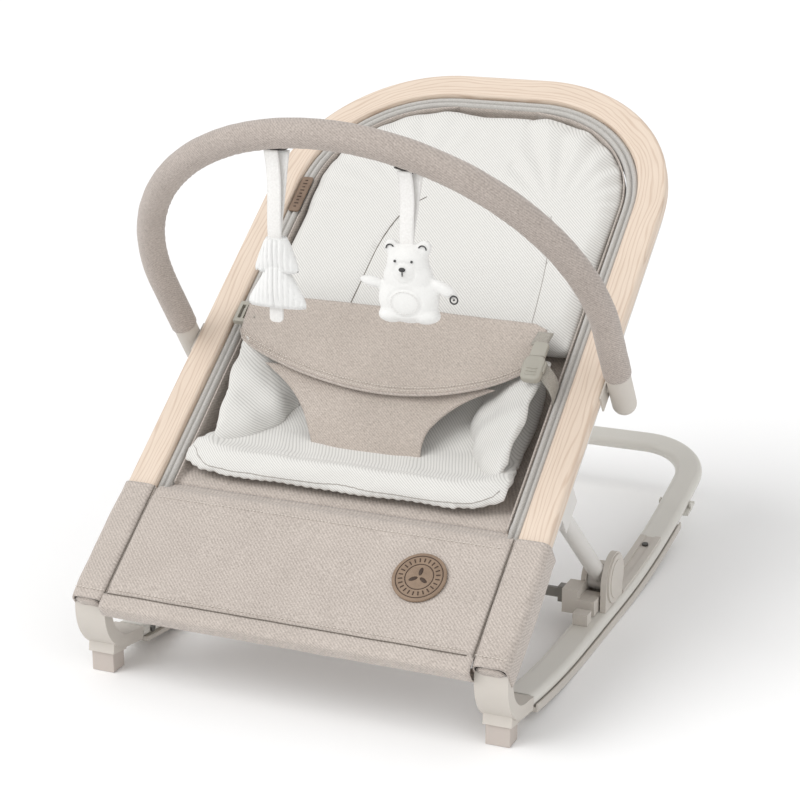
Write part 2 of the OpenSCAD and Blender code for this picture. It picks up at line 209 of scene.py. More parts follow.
def skin(name, colour, rough, grain, depth, metal=0.0, coat=0.0, spec=0.45):
    """Paint, plastic or rubber with a fine grain."""
    mat, tree, shader, place = start(name)
    group = add(tree, "Group", node_tree=SKIN)
    tree.links.new(place, group.inputs["Place"])
    group.inputs["Grain"].default_value = grain
    low = tuple(c * 0.93 for c in colour)
    high = tuple(min(1, c * 1.06) for c in colour)
    tree.links.new(colour_between(tree, group.outputs["Cloud"], low, high), shader.inputs["Base Color"])
    wear = sums(tree, "MULTIPLY_ADD", group.outputs["Rubbed"], -0.12, rough)
    tree.links.new(sums(tree, "MULTIPLY_ADD", group.outputs["Cloud"], 0.08, wear), shader.inputs["Roughness"])
    shader.inputs["Metallic"].default_value = metal
    shader.inputs["Coat Weight"].default_value = coat
    shader.inputs["Specular IOR Level"].default_value = spec
    bump(tree, shader, group.outputs["Height"], depth, 0.35)
    return mat


def striped_cotton():
    """Off-white jersey with a fine slanting pinstripe."""
    pitch = 0.0030
    mat, tree, shader, place = start("pinstripe jersey", True)
    p = add(tree, "SeparateXYZ", {0: place})
    wander = add(tree, "TexNoise", {"Vector": place, "Scale": 30.0, "Detail": 2.0})
    across = sums(tree, "ADD", sums(tree, "ADD", p.outputs[0], p.outputs[1]), p.outputs[2])
    across = sums(tree, "MULTIPLY_ADD", wander.outputs[0], 0.0012, across)
    wave = sums(tree, "SINE", sums(tree, "MULTIPLY", across, FULL_TURN / pitch))
    line = add(tree, "MapRange", {0: wave, 1: -0.2, 2: 0.95}).outputs[0]
    loops = add(tree, "TexNoise", {"Vector": place, "Scale": 1100.0, "Detail": 1.0})
    tint = sums(tree, "MULTIPLY_ADD", loops.outputs[0], 0.35, sums(tree, "MULTIPLY", line, 0.75))
    tone = colour_between(tree, tint, (0.79, 0.78, 0.75), (0.55, 0.54, 0.515))
    tree.links.new(tone, shader.inputs["Base Color"])
    shader.inputs["Roughness"].default_value = 0.85
    shader.inputs["Sheen Weight"].default_value = 0.2
    shader.inputs["Specular IOR Level"].default_value = 0.2
    knit = sums(tree, "SUBTRACT", loops.outputs[0], sums(tree, "MULTIPLY", line, 0.5))
    bump(tree, shader, knit, 0.0003, 0.5)
    return mat


def pale_wood():
    """Bent beech: the grain follows the arch, straight up the legs and round the top."""
    mat, tree, shader, place = start("bent beech", True)
    p = add(tree, "SeparateXYZ", {0: place})
    side = sums(tree, "ABSOLUTE", p.outputs[0])
    dx = sums(tree, "MAXIMUM", sums(tree, "SUBTRACT", side, CORNER_X), 0.0)
    dy = sums(tree, "MAXIMUM", sums(tree, "SUBTRACT", p.outputs[1], CORNER_Y), 0.0)
    squares = sums(tree, "ADD", sums(tree, "MULTIPLY", dx, dx), sums(tree, "MULTIPLY", dy, dy))
    out = sums(tree, "SQRT", squares)
    run = sums(tree, "SUBTRACT", p.outputs[1], side)
    drift = add(tree, "CombineXYZ", {0: out, 1: sums(tree, "MULTIPLY", run, 0.16), 2: p.outputs[2]})
    sway = add(tree, "TexNoise", {"Vector": drift.outputs[0], "Scale": 60.0, "Detail": 2.0})
    warped = sums(tree, "MULTIPLY_ADD", sway.outputs[0], 0.016, out)
    depth = sums(tree, "MULTIPLY_ADD", p.outputs[2], 0.5, warped)
    rings = sums(tree, "SINE", sums(tree, "MULTIPLY", depth, 1500.0))
    line = add(tree, "MapRange", {0: rings, 1: 0.35, 2: 1.0}).outputs[0]
    thin = add(tree, "CombineXYZ", {0: out, 1: sums(tree, "MULTIPLY", run, 0.03), 2: p.outputs[2]})
    pores = add(tree, "TexNoise", {"Vector": thin.outputs[0], "Scale": 900.0, "Detail": 3.0})
    broad = add(tree, "TexNoise", {"Vector": drift.outputs[0], "Scale": 26.0, "Detail": 2.0})
    mask = sums(tree, "MULTIPLY_ADD", line, 0.42, sums(tree, "MULTIPLY", pores.outputs[0], 0.55))
    mask = sums(tree, "MULTIPLY_ADD", broad.outputs[0], 0.35, sums(tree, "SUBTRACT", mask, 0.22))
    tone = colour_between(tree, mask, (0.77, 0.655, 0.545), (0.54, 0.40, 0.30))
    tree.links.new(tone, shader.inputs["Base Color"])
    tree.links.new(sums(tree, "MULTIPLY_ADD", pores.outputs[0], 0.2, 0.42), shader.inputs["Roughness"])
    shader.inputs["Coat Weight"].default_value = 0.08
    shader.inputs["Coat Roughness"].default_value = 0.4
    bump(tree, shader, pores.outputs[0], 0.00012, 0.35)
    return mat


def ribbed_band():
    """Grey binding with fine ribs across its length."""
    pitch = 0.0016
    mat, tree, shader, place = start("ribbed binding", True)
    p = add(tree, "SeparateXYZ", {0: place})
    along = sums(tree, "SUBTRACT", p.outputs[1], sums(tree, "ABSOLUTE", p.outputs[0]))
    rib = sums(tree, "SINE", sums(tree, "MULTIPLY", along, FULL_TURN / pitch))
    fleck = add(tree, "TexNoise", {"Vector": place, "Scale": 800.0, "Detail": 2.0})
    mask = sums(tree, "MULTIPLY_ADD", rib, 0.12, fleck.outputs[0])
    tone = colour_between(tree, mask, (0.40, 0.385, 0.36), (0.62, 0.60, 0.57))
    tree.links.new(tone, shader.inputs["Base Color"])
    shader.inputs["Roughness"].default_value = 0.9
    shader.inputs["Sheen Weight"].default_value = 0.2
    bump(tree, shader, rib, 0.0002, 0.5)
    return mat


def short_plush(name, colour, scale):
    """Short soft pile: its colour is mottled at random, and painted darker in the hollows between its tufts as
    shade.
    """
    mat, tree, shader, place = start(name)
    pile = add(tree, "TexNoise", {"Vector": place, "Scale": scale, "Detail": 3.0, "Roughness": 0.7})
    soft = add(tree, "TexNoise", {"Vector": place, "Scale": 90.0, "Detail": 3.0})
    # mask: random mottle, plus painted shade where the pile is low
    mask = sums(tree, "MULTIPLY_ADD", soft.outputs[0], 0.5, sums(tree, "MULTIPLY", pile.outputs[0], 0.5))
    low = tuple(c * 0.88 for c in colour)
    tree.links.new(colour_between(tree, mask, low, colour), shader.inputs["Base Color"])
    shader.inputs["Roughness"].default_value = 0.95
    shader.inputs["Sheen Weight"].default_value = 0.5
    shader.inputs["Sheen Roughness"].default_value = 0.4
    shader.inputs["Specular IOR Level"].default_value = 0.1
    bump(tree, shader, pile.outputs[0], 0.0009, 0.6)
    return mat


def leather(name, colour, dark):
    """Fine pebbled leather with cloudy colour."""
    mat, tree, shader, place = start(name, True)
    cells = add(tree, "TexVoronoi", {"Vector": place, "Scale": 1100.0})
    cloud = add(tree, "TexNoise", {"Vector": place, "Scale": 120.0, "Detail": 4.0})
    tree.links.new(colour_between(tree, cloud.outputs[0], dark, colour), shader.inputs["Base Color"])
    shader.inputs["Roughness"].default_value = 0.62
    shader.inputs["Specular IOR Level"].default_value = 0.35
    bump(tree, shader, cells.outputs["Distance"], 0.0003, 0.5)
    return mat


FINISH = {
    "steel": skin("satin powder coat", (0.69, 0.67, 0.62), 0.36, 1400.0, 0.00006, coat=0.12),
    "strut": skin("grey satin tube", (0.66, 0.64, 0.61), 0.34, 1400.0, 0.00006, coat=0.12),
    "shell": skin("fine matt plastic", (0.59, 0.55, 0.50), 0.5, 1000.0, 0.00012),
    # seam and line: colours of thin dark cords laid along seams, painted shadow in the seam grooves
    "seam": woven("painted grey seam shadow", (0.30, 0.28, 0.255), (0.46, 0.43, 0.40), 900.0, 0.0001),
    "line": woven("painted dark seam shadow", (0.10, 0.085, 0.07), (0.22, 0.19, 0.16), 900.0, 0.0001),
    "rubber": skin("grey grip rubber", (0.30, 0.29, 0.27), 0.8, 500.0, 0.0003, spec=0.3),
    "foot": skin("warm grey foot rubber", (0.52, 0.465, 0.425), 0.66, 700.0, 0.0002, spec=0.35),
    "screw": skin("dark zinc", (0.11, 0.108, 0.10), 0.38, 1200.0, 0.00005, metal=0.7),
    "darkbar": skin("taupe enamel", (0.225, 0.215, 0.195), 0.42, 1200.0, 0.00008),
    "wood": pale_wood(),
    "twill": woven("greige twill", (0.30, 0.26, 0.23), (0.67, 0.60, 0.545), 290.0),
    "belt": woven("belt twill", (0.31, 0.265, 0.23), (0.665, 0.59, 0.53), 330.0),
    "webbing": woven("narrow webbing", (0.27, 0.25, 0.215), (0.50, 0.465, 0.41), 600.0, 0.0005),
    "barcloth": woven("bar cover cloth", (0.27, 0.23, 0.205), (0.61, 0.54, 0.49), 330.0, 0.0005),
    "thread": woven("pale thread", (0.60, 0.54, 0.47), (0.86, 0.80, 0.73), 1500.0, 0.0001),
    "band": ribbed_band(),
    "cushion": striped_cotton(),
    "buckle": skin("buckle plastic", (0.42, 0.40, 0.345), 0.45, 1000.0, 0.0001),
    "leather": leather("brown leather", (0.34, 0.245, 0.175), (0.19, 0.13, 0.09)),
    "tag": leather("dark tag leather", (0.27, 0.19, 0.135), (0.13, 0.085, 0.06)),
    "stamp": leather("stamped lines", (0.075, 0.045, 0.03), (0.045, 0.028, 0.02)),
    "plush": short_plush("white plush", (0.86, 0.855, 0.835), 900.0),
    "ribs": short_plush("white corduroy", (0.90, 0.90, 0.885), 1300.0),
    "ribbon": woven("white ribbon", (0.74, 0.725, 0.70), (0.90, 0.89, 0.87), 900.0, 0.0002, tilt=False),
    "tab": woven("dark tab", (0.10, 0.095, 0.09), (0.20, 0.19, 0.18), 700.0, 0.0003, tilt=False),
    "ink": skin("dark stitching", (0.045, 0.045, 0.045), 0.5, 1500.0, 0.00008),
}


# ---------------------------------------------------------------- making pieces
def placed(name, bm):
    """An object that holds a finished bmesh."""
    mesh = bpy.data.meshes.new(name)
    bm.to_mesh(mesh)
    bm.free()
    ob = bpy.data.objects.new(name, mesh)
    scene.collection.objects.link(ob)
    return ob


def settle(name, bm, body, slot, finish=None, home=SEAT, level=0):
    """Puts a form in its place, gives it its finish and lets it ride on its body."""
    if home is not None:
        bmesh.ops.transform(bm, matrix=home, verts=bm.verts)
    bmesh.ops.recalc_face_normals(bm, faces=bm.faces)
    ob = placed(name, bm)
    ob.data.shade_smooth()
    ob.data.materials.append(FINISH[finish or slot])
    if level:
        sub = ob.modifiers.new("rounding", "SUBSURF")
        sub.levels = sub.render_levels = level
    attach(ob, body)
    return ob


def thicken(ob, thick, offset=-1.0):
    """Gives cloth its thickness, by default below its face."""
    wall = ob.modifiers.new("thickness", "SOLIDIFY")
    wall.thickness, wall.offset = thick, offset
    return ob


def made(ob):
    """Turns the live modifiers into plain mesh."""
    graph = bpy.context.evaluated_depsgraph_get()
    mesh = bpy.data.meshes.new_from_object(ob.evaluated_get(graph))
    ob.modifiers.clear()
    ob.data = mesh
    return ob


def reach(edge, axis):
    """How far an edge goes along an axis, in metres."""
    return abs(getattr(edge.verts[0].co, axis) - getattr(edge.verts[1].co, axis))


def round_off(bm, edges, radius, parts):
    """Rounds edges by a radius in millimetres."""
    bmesh.ops.bevel(bm, geom=edges, offset=radius * MM, segments=parts, profile=0.5, affect="EDGES",
                    material=-1)


def slab(u, v, n, sides=0.0, where=lambda x, y: True, rim=0.0, parts=8):
    """A block in millimetres: standing edges rounded by sides where where() says, then the rim rounded."""
    bm = bmesh.new()
    bmesh.ops.create_cube(bm, size=1.0)
    size = Vector([(high - low) * MM for low, high in (u, v, n)])
    mid = Vector([(low + high) * MM / 2 for low, high in (u, v, n)])
    bmesh.ops.scale(bm, vec=size, verts=bm.verts)
    bmesh.ops.translate(bm, vec=mid, verts=bm.verts)
    if sides:
        stand = [e for e in bm.edges if reach(e, "z") > 1e-6
                 and where(e.verts[0].co.x - mid.x, e.verts[0].co.y - mid.y)]
        round_off(bm, stand, sides, parts)
    if rim:
        round_off(bm, [e for e in bm.edges if reach(e, "z") < 1e-6], rim, 3)
    return bm


def run_length(points):
    """Length of a run of points, in its own unit."""
    return sum(math.dist(a, b) for a, b in zip(points, points[1:]))


def line_at(points, share):
    """The point that far along a run of points, by length, from 0 to 1."""
    spans = [math.dist(a, b) for a, b in zip(points, points[1:])]
    left = share * sum(spans)
    for (a, b), span in zip(zip(points, points[1:]), spans):
        if left <= span or b is points[-1]:
            k = left / span if span else 0
            return tuple(p + (q - p) * min(1, k) for p, q in zip(a, b))
        left -= span


def rounded_line(points):
    """Cuts the corners of a run of points twice, keeping its ends."""
    for _ in range(2):
        out = [points[0]]
        for a, b in zip(points, points[1:]):
            out.append(tuple(p * 0.75 + q * 0.25 for p, q in zip(a, b)))
            out.append(tuple(p * 0.25 + q * 0.75 for p, q in zip(a, b)))
        out.append(points[-1])
        points = out
    return points


def laid_grid(across, along, place):
    """A grid of cloth whose points are put where place(share across, share along) says, in millimetres."""
    bm = bmesh.new()
    bmesh.ops.create_grid(bm, x_segments=across, y_segments=along, size=0.5)
    for vert in bm.verts:
        u, v, n = place(vert.co.x + 0.5, vert.co.y + 0.5)
        vert.co = Vector((u, v, n)) * MM
    return bm


def wrinkle(bm, amount, size, seed):
    """Moves cloth gently out and in, by an amount in millimetres, in patches of a size in millimetres."""
    step = Vector((0, 0, 1)) * amount * MM
    for vert in bm.verts:
        vert.co += step * noise.noise(vert.co / (size * MM) + Vector((seed, 0, 0)))


def move_out(mesh, how):
    """Moves every point of a mesh by how(point) metres along the seat's own upward direction."""
    tops = [vert.normal.z for vert in mesh.vertices]
    for vert, top in zip(mesh.vertices, tops):
        if top > 0.05:
            vert.co.z += how(vert.co) * min(1, top * 1.6)


def near(point, a, b):
    """Distance in the seat's plane, in mm, from a point to the seam from a to b."""
    p, a, b = Vector(point[:2]) / MM, Vector(a), Vector(b)
    d = b - a
    t = max(0, min(1, (p - a).dot(d) / d.length_squared))
    return (p - a - d * t).length


def evened(name, bm, voxel):
    """An object whose mesh is one closed skin of even faces."""
    ob = placed(name, bm)
    even = ob.modifiers.new("even", "REMESH")
    even.mode, even.voxel_size = "VOXEL", voxel * MM
    return made(ob)


def relax(bm, times):
    for _ in range(times):
        bmesh.ops.smooth_vert(bm, verts=bm.verts, factor=0.5, use_axis_x=True, use_axis_y=True,
                              use_axis_z=True)


def blow_up(ob, pressure):
    """Fills a closed skin with air, as cloth."""
    cloth = ob.modifiers.new("air", "CLOTH")
    s = cloth.settings
    s.quality, s.mass, s.use_pressure, s.uniform_pressure_force = 5, 0.3, True, pressure
    s.tension_stiffness = s.compression_stiffness = 15
    s.bending_stiffness = 0.5
    s.effector_weights.gravity = 0
    cloth.collision_settings.use_collision = False
    for number in range(1, 21):
        scene.frame_set(number)
    made(ob)
    scene.frame_set(1)


def puffed(name, bm, voxel, cap, pressure, floor=None, hold=0.5):
    """A stuffed form in the seat's own frame: an even skin, blown up, no point moved past a cap.

    The voxel and the cap are in millimetres. Moves in the seat's plane are scaled by hold, which keeps the
    outline, and floor() is the lowest that a point may sink.
    """
    bmesh.ops.recalc_face_normals(bm, faces=bm.faces)
    ob = evened(name, bm, voxel)
    rest = [v.co.copy() for v in ob.data.vertices]
    blow_up(ob, pressure)
    for vert, was in zip(ob.data.vertices, rest):
        step = vert.co - was
        step.x, step.y = step.x * hold, step.y * hold
        if step.length > cap * MM:
            step *= cap * MM / step.length
        vert.co = was + step
        if floor is not None:
            vert.co.z = max(vert.co.z, floor(vert.co) * MM)
    work = bmesh.new()
    work.from_mesh(ob.data)
    relax(work, 3)
    work.to_mesh(ob.data)
    work.free()
    sub = ob.modifiers.new("fine", "SUBSURF")
    sub.levels = sub.render_levels = 1
    return made(ob)


def finish_padded(ob, body, slot, home=SEAT):
    """Puts a stuffed piece in its place, and gives it its finish and its body."""
    ob.data.transform(home)
    ob.data.shade_smooth()
    ob.data.materials.clear()
    ob.data.materials.append(FINISH[slot])
    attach(ob, body)
    return ob


def stitched(name, points, pitch, body, slot, finish="thread", home=SEAT, width=0.55, up=(0, 0, 1)):
    """A row of small stitches along a run of points in millimetres."""
    bm = bmesh.new()
    count = max(2, int(run_length(points) / pitch))
    for i in range(count):
        a = Vector(line_at(points, (i + 0.15) / count))
        b = Vector(line_at(points, (i + 0.8) / count))
        run = b - a
        x = run.normalized()
        z = (Vector(up) - x * Vector(up).dot(x)).normalized()
        y = z.cross(x)
        turn = Matrix((x, y, z)).transposed().to_4x4()
        size = Matrix.Diagonal((run.length * MM, width * MM, width * 0.7 * MM, 1))
        bmesh.ops.create_cube(bm, size=1.0, matrix=Matrix.Translation((a + b) * MM / 2) @ turn @ size)
    return settle(name, bm, body, slot, finish, home)


def extruded(bm, edges):
    """Extrudes open edges in place: the new edges and their points."""
    out = bmesh.ops.extrude_edge_only(bm, edges=edges)["geom"]
    verts = [g for g in out if isinstance(g, bmesh.types.BMVert)]
    return [g for g in out if isinstance(g, bmesh.types.BMEdge)], verts


def pushed(bm, edges, step, times=1):
    """Extrudes open edges by a step, so many times, and returns the last edges."""
    for _ in range(times):
        edges, verts = extruded(bm, edges)
        bmesh.ops.translate(bm, vec=step, verts=verts)
    return edges


def swung(bm, edges, centre, axis, angle, steps):
    """Spins open edges about an axis and returns the last edges."""
    verts = list(dict.fromkeys(v for e in edges for v in e.verts))
    out = bmesh.ops.spin(bm, geom=edges + verts, cent=centre, axis=axis, angle=angle, steps=steps,
                         use_merge=False)["geom_last"]
    return [g for g in out if isinstance(g, bmesh.types.BMEdge)]


def join_into(target, others):
    """Copies other forms into one, and frees them."""
    for other in others:
        mesh = bpy.data.meshes.new("part")
        other.to_mesh(mesh)
        other.free()
        target.from_mesh(mesh)
        bpy.data.meshes.remove(mesh)
    return target


def seam_shadow_cord(name, points, radius, slot, finish):
    """A raised dark line on the seat, through a run of points in millimetres: painted shadow in a seam's groove.
    """
    bm = bmesh.new()
    bmesh.ops.create_circle(bm, segments=6, radius=radius * MM, cap_ends=True)
    edges, at, facing = bm.edges[:], Vector((0, 0, 0)), Vector((0, 0, 1))
    ring = bm.verts[:]
    for k, point in enumerate(points):
        spot = Vector(point) * MM
        ahead = (Vector(points[min(k + 1, len(points) - 1)]) - Vector(points[max(k - 1, 0)])).normalized()
        if k:
            edges, ring = extruded(bm, edges)
        bmesh.ops.translate(bm, vec=spot - at, verts=ring)
        bmesh.ops.rotate(bm, cent=spot, matrix=facing.rotation_difference(ahead).to_matrix(), verts=ring)
        at, facing = spot, ahead
    bmesh.ops.holes_fill(bm, edges=bm.edges, sides=0)
    settle(name, bm, "seat", slot, finish)


# ---------------------------------------------------------------- fabric round the frame's legs
def leg_sleeve(side):
    """A sewn sleeve over the lower leg, open below where the hinge comes out."""
    name = "sleeve_right" if side > 0 else "sleeve_left"
    low, top, span, middle = -119.5, 2.6, 122.1, 0.1841
    bm = slab((167.8, 200.4), (low, top), (-29.2, 2.8))
    ends = [f for f in bm.faces if abs(f.normal.y) > 0.9]
    bmesh.ops.delete(bm, geom=ends, context="FACES_ONLY")
    round_off(bm, [e for e in bm.edges if reach(e, "y") > 0.05], 7.5, 5)
    for cut in range(1, 26):
        y = (low + cut * span / 26) * MM
        bmesh.ops.bisect_plane(bm, geom=bm.verts[:] + bm.edges[:] + bm.faces[:], plane_co=(0, y, 0),
                               plane_no=(0, 1, 0))
    under = [f for f in bm.faces if f.normal.z < -0.5 and f.calc_center_median().y < -0.087]
    bmesh.ops.delete(bm, geom=under, context="FACES")
    for vert in bm.verts:
        k = (vert.co.y / MM - low) / span
        hem = math.exp(-((k - 0.93) / 0.018) ** 2) + math.exp(-((k - 0.08) / 0.02) ** 2)
        belly = 0.6 * math.sin(k * math.pi) - 0.5 * hem
        mid = Vector((middle, vert.co.y, -0.0132))
        out = (vert.co - mid).normalized()
        vert.co += out * belly * MM
        vert.co.x = min(max(vert.co.x, 0.1676), 0.2012)
        if vert.co.y < -0.1185:
            vert.co.x = middle + (vert.co.x - middle) * 0.93
        vert.co += out * 0.5 * MM * noise.noise(vert.co / 0.022 + Vector((side, 0, 0)))
    lining = slab((168.4, 199.8), (-119.2, -118.6), (-14, 2.2))
    join_into(bm, [lining])
    if side < 0:
        bmesh.ops.scale(bm, vec=(-1, 1, 1), verts=bm.verts)
    ob = settle(name + "_cloth", bm, "seat", "twill", level=1)
    thicken(ob, 1.3 * MM)
    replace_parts(ob, name)
    edge = [(s * side, -110.5, 3.4) for s in (170, 176, 184, 192, 198)]
    stitched(name + "_hem_stitches", edge, 3.2, "seat", "twill")


for side in (-1, 1):
    leg_sleeve(side)


# ---------------------------------------------------------------- front panel and its hem
# Each run goes down the cloth as (up the seat, out of the seat) in millimetres.
PANEL_RUN = rounded_line([(15, -11.5), (8, -7), (3, -1.2), (-5, 0.7), (-14, 1.3), (-60, 2.0), (-100, 1.4),
                          (-113, 0.2)])
HEM_RUN = rounded_line([(-109.5, 0.4), (-113, 1.4), (-122, 1.5), (-126.2, -0.5), (-126.4, -7), (-126.2, -14),
                        (-123, -17.6), (-117, -17.6), (-113, -16)])
PANEL_HALF, HEM_HALF = 170.0, 169.2


def panel_swell(u, v):
    return noise.noise(Vector((u / 46, v / 40, 3.1)))


def front_panel():
    def place(s, t):
        v, n = line_at(PANEL_RUN, t)
        u = (s - 0.5) * 2 * PANEL_HALF
        edge = min(1, (1 - abs(s - 0.5) * 2) * 45)
        seam = -0.9 * math.exp(-((v + 6) / 1.3) ** 2)
        soft = 0.55 * panel_swell(u, v) + 0.25 * noise.noise(Vector((u / 17, v / 30, 8.0)))
        return u, v, n + (seam + soft if v < 1 else 0) - 2.6 * (1 - edge) ** 2
    bm = laid_grid(90, 60, place)
    ob = thicken(settle("front_panel_cloth", bm, "seat", "twill"), 1.2 * MM)
    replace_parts(ob, "front_panel")
    for label, v, n in (("top", -8.3, 1.75), ("low", -107.2, 1.55)):
        row = [(u, v, n + 0.35 * panel_swell(u, v)) for u in range(-160, 161, 10)]
        stitched("panel_stitches_" + label, row, 3.4, "seat", "twill", width=0.45)


def bottom_hem():
    def place(s, t):
        v, n = line_at(HEM_RUN, t)
        u = (s - 0.5) * 2 * HEM_HALF
        v += 0.3 * noise.noise(Vector((u / 30, t * 3, 1)))
        return u, v, n + 0.35 * noise.noise(Vector((u / 25, t * 4, 5)))
    bm = laid_grid(80, 40, place)
    ob = thicken(settle("bottom_hem_cloth", bm, "seat", "twill"), 1.3 * MM)
    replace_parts(ob, "bottom_hem")


def panel_seam_shadows():
    # Dark cords along the hem and the panel's two sides: painted shadow in the seam grooves.
    hem = [(u, -111.6 + 0.4 * noise.noise(Vector((u / 30, 0, 2))), 1.75) for u in range(-167, 168, 6)]
    seam_shadow_cord("hem_seam_shadow", hem, 0.5, "twill", "line")
    for label, way in (("left", -1), ("right", 1)):
        edge = [((168.6 + 0.7 * noise.noise(Vector((v / 20, way, 0)))) * way, v, 1.5)
                for v in range(-112, 3, 6)]
        seam_shadow_cord("panel_side_seam_shadow_" + label, edge, 0.55, "twill", "line")


bottom_hem()
front_panel()
panel_seam_shadows()


# ---------------------------------------------------------------- sling under the liner
SLING_RUN = rounded_line([(14, -13.5), (26, -12.5), (60, -31), (100, -51), (149, -55), (184, -45),
                          (200, -29.5), (240, -29), (380, -29), (484, -28), (493, -26), (496.5, -16), (497, -7)])


def fabric_sling():
    corner_u, corner_v, corner = 42, 379, 115.5
    wall, flat, turn_up = -6.5, 0.8, 3.5

    def half(v):
        """Half the sling's width at a height, inside the rim."""
        past = max(0, v - corner_v)
        return corner_u + math.sqrt(max(0, corner ** 2 - past ** 2))

    def place(s, t):
        """Flat across most of the seat, then up along the rim's inner wall."""
        v, n = line_at(SLING_RUN, t)
        wide, x = half(v), (s - 0.5) * 2
        if abs(x) < flat:
            return x / flat * (wide - turn_up), v, n
        k = (abs(x) - flat) / (1 - flat)
        u = wide - turn_up + turn_up * min(1, k * 2.2) ** 0.6
        return math.copysign(u, x), v, n + (wall - n) * k ** 1.4
    bm = laid_grid(70, 90, place)
    wrinkle(bm, 0.5, 45, 2.0)
    ob = thicken(settle("fabric_sling_cloth", bm, "seat", "twill"), 1.4 * MM)
    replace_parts(ob, "fabric_sling")


fabric_sling()


# ---------------------------------------------------------------- ribbed band inside the rim
def inner_band():
    """Two soft ribs side by side, swept up one leg, round the arch and down the other leg."""
    loop = [(170.2, -21), (170.4, -12), (170.2, -6.0), (168.4, -4.6), (166.6, -4.5), (165.3, -6.0),
            (164.6, -8.6), (163.9, -5.7), (162.5, -4.1), (160.6, -4.5), (159.4, -6.4), (159, -12),
            (159.2, -20), (161, -22), (168, -22)]
    leg, top, parts = 0.374, 0.083, 10
    bm = bmesh.new()
    ring = [bm.verts.new((u * MM, 4 * MM, n * MM)) for u, n in loop]
    edges = [bm.edges.new((a, b)) for a, b in zip(ring, ring[1:] + ring[:1])]
    bm.faces.new(ring)
    edges = pushed(bm, edges, (0, leg / parts, 0), parts)
    edges = swung(bm, edges, (CORNER_X, CORNER_Y, 0), (0, 0, 1), math.pi / 2, 18)
    edges = pushed(bm, edges, (-top / parts, 0, 0), parts)
    edges = swung(bm, edges, (-CORNER_X, CORNER_Y, 0), (0, 0, 1), math.pi / 2, 18)
    pushed(bm, edges, (0, -leg / parts, 0), parts)
    bmesh.ops.remove_doubles(bm, verts=bm.verts, dist=1e-6)
    bmesh.ops.holes_fill(bm, edges=bm.edges, sides=0)
    wrinkle(bm, 0.25, 18, 4.0)
    ob = settle("inner_band_cloth", bm, "seat", "band")
    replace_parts(ob, "inner_band")


inner_band()


# ---------------------------------------------------------------- padded liner
def surface_of(ob):
    """A piece's surface, for finding where a seam lies on it."""
    return BVHTree.FromPolygons([v.co for v in ob.data.vertices], [p.vertices for p in ob.data.polygons])


def back_pad():
    """The back cushion: seams on both sides and folds that fan out from the two gathers at the shoulders."""
    bm = slab((-156.5, 156.5), (206, 493.5), (-22, -8), 111, lambda x, y: y > 0, 4, 14)
    ob = puffed("back_pad_liner", bm, 5, 10, 4.0, lambda p: -25.3, 0.1)
    seams = [((-58, 205), (-60, 300), 1.6), ((-60, 300), (-46, 352), 1.4), ((112, 205), (110, 300), 1.1),
             ((110, 300), (98, 356), 1.0), ((-46, 352), (98, 358), 0.5)]

    def shape(p):
        u, v = p.x / MM, p.y / MM
        dip = -sum(d * math.exp(-(near(p, a, b) / 2.2) ** 2) for a, b, d in seams)
        right = u > 26
        du, dv = u - (98 if right else -46), v - 356
        far = math.hypot(du, dv)
        angle = math.atan2(dv, du)
        out = max(0, min(1, (far - 22) / 55))
        outer = du > -60 if right else du < 30
        strength = (1.8 if right else 0.8) * out * max(0, min(1, (v - 325) / 40)) * (1 if outer else 0.25)
        fold = math.sin(angle * 21 + 2.2 * noise.noise(Vector((u / 45, v / 45, 0))))
        fold = math.copysign(abs(fold) ** 1.3, fold)
        rim = 0.9 * noise.noise(Vector((u / 12, v / 12, 7))) * max(0, min(1, (far - 55) / 40))
        loose = 0.7 * noise.noise(Vector((u / 55, v / 90, 1)))
        return (dip + strength * fold + rim * (0.7 if v > 300 else 0.2) + loose) * MM
    move_out(ob.data, shape)
    face = surface_of(ob)

    def on_pad(points):
        """The run of a seam, dropped onto the cushion's face."""
        out = []
        for k in range(41):
            u, v = line_at(points, k / 40)
            hit = face.ray_cast(Vector((u * MM, v * MM, 0.1)), Vector((0, 0, -1)))[0]
            if hit:
                out.append((u, v, hit.z / MM + 0.12))
        return out

    left = rounded_line([(-61, 212), (-60, 254), (-59, 292), (-56, 320), (-47, 350), (-30, 366)])
    right = rounded_line([(118, 212), (115, 254), (110, 300), (98, 356)])
    # Dark cords along the two seams: painted shadow in their grooves.
    seam_shadow_cord("back_seam_shadow_left", on_pad(left), 0.42, "cushion", "line")
    seam_shadow_cord("back_seam_shadow_right", on_pad(right), 0.3, "cushion", "seam")
    finish_padded(ob, "seat", "cushion")
    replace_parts(ob, "back_pad")


